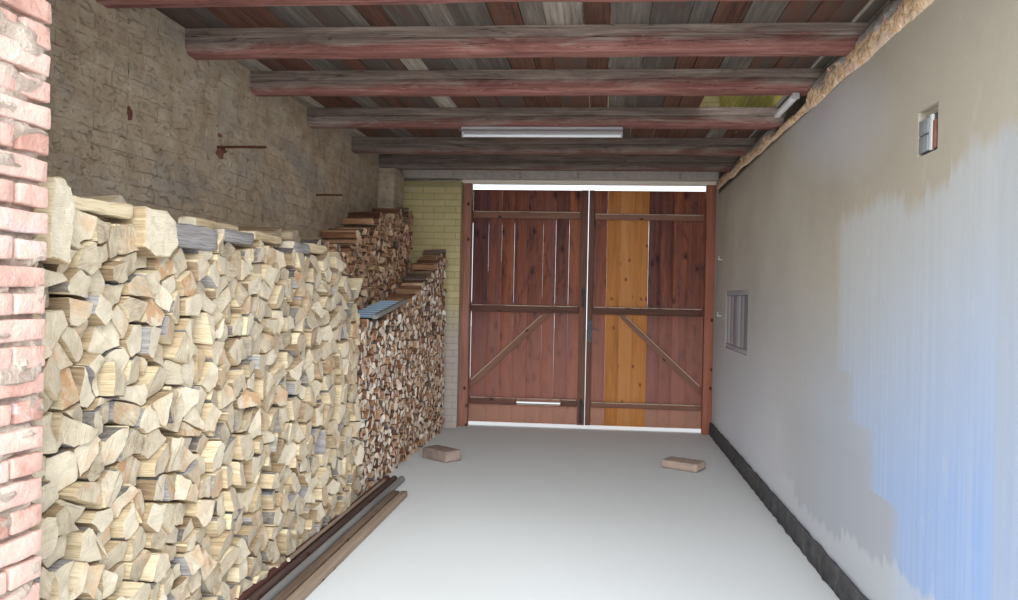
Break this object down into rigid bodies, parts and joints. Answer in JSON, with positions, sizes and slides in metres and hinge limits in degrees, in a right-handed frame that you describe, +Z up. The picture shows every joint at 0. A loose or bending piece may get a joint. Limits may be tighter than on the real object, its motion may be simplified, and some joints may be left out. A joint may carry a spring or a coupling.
{
  "type": "log store",
  "caption": "Covered firewood store in a walled passage, open at the front, with stacked split logs, timber ceiling beams, lean-to roof and a pair of boarded doors.",
  "frame": {"origin": "centre of the plan at ground level", "axes": "+X across the passage to the house wall on the right, +Y from the open front to the doors, +Z up"},
  "size_m": [4.62, 7.685, 4.8715],
  "materials": {
    "limewash_brick": "matt",
    "red_brick": "rough",
    "grey_render": "matt",
    "plinth_stone": "rough",
    "yellow_brick": "matt",
    "pale_timber": "rough",
    "dark_steel": "matt",
    "red_timber": "satin",
    "beam_timber": "rough",
    "deck_boards": "rough",
    "roof_timber": "rough",
    "roof_cement": "matt",
    "door_boards": "satin",
    "hatch_timber": "rough",
    "outlet_plastic": "matt",
    "rusty_iron": "rough",
    "light_enamel": "satin",
    "pale_firewood": "rough",
    "brown_firewood": "rough",
    "blue_paint": "satin",
    "grey_timber": "rough",
    "pole_wood": "rough",
    "batten_wood": "rough"
  },
  "bodies": {
    "root": {"left_wall": "limewash_brick", "left_pilaster": "limewash_brick", "front_pier": "red_brick", "right_wall": "grey_render", "right_plinth": "plinth_stone", "back_wall_left": "yellow_brick", "back_wall_upper": "yellow_brick", "door_lintel": "pale_timber", "lintel_bar": "dark_steel", "door_post_left": "red_timber", "door_post_right": "red_timber", "front_lintel": "beam_timber", "ceiling_beams": "beam_timber", "loft_deck": "deck_boards", "roof_rafters": "roof_timber", "roof_purlins": "roof_timber", "roof_sheets": "roof_cement", "left_hinge_pins": "dark_steel", "right_hinge_pins": "dark_steel", "hatch_frame": "hatch_timber", "hatch_door": "hatch_timber", "wall_outlet": "outlet_plastic", "wall_hooks": "outlet_plastic", "iron_rods": "rusty_iron", "strip_light": "light_enamel", "tube_light": "light_enamel", "near_back_row": "pale_firewood", "near_front_row": "pale_firewood", "far_back_row": "brown_firewood", "far_front_row": "brown_firewood", "blue_sheet": "blue_paint", "blue_sheet_batten": "grey_timber", "poles": "pole_wood", "battens": "batten_wood", "floor_bricks": "red_brick"},
    "left_leaf": {"left_leaf_boards": "door_boards", "left_leaf_ledges": "red_timber", "left_leaf_brace": "red_timber", "left_leaf_stile": "red_timber", "left_leaf_hinges": "dark_steel", "left_leaf_bolts": "dark_steel"},
    "right_leaf": {"right_leaf_boards": "door_boards", "right_leaf_ledges": "red_timber", "right_leaf_brace": "red_timber", "right_leaf_hinges": "dark_steel", "right_leaf_lock": "dark_steel"}
  },
  "joints": [
    {"name": "left_leaf_swing", "type": "hinge", "parent": "root", "child": "left_leaf", "pos_m": [-1.076, 3.7805, 1.4], "axis": [0, 0, 1], "range_deg": [0, 105]},
    {"name": "right_leaf_swing", "type": "hinge", "parent": "root", "child": "right_leaf", "pos_m": [1.773, 3.7805, 1.4], "axis": [0, 0, -1], "range_deg": [0, 105]}
  ]
}
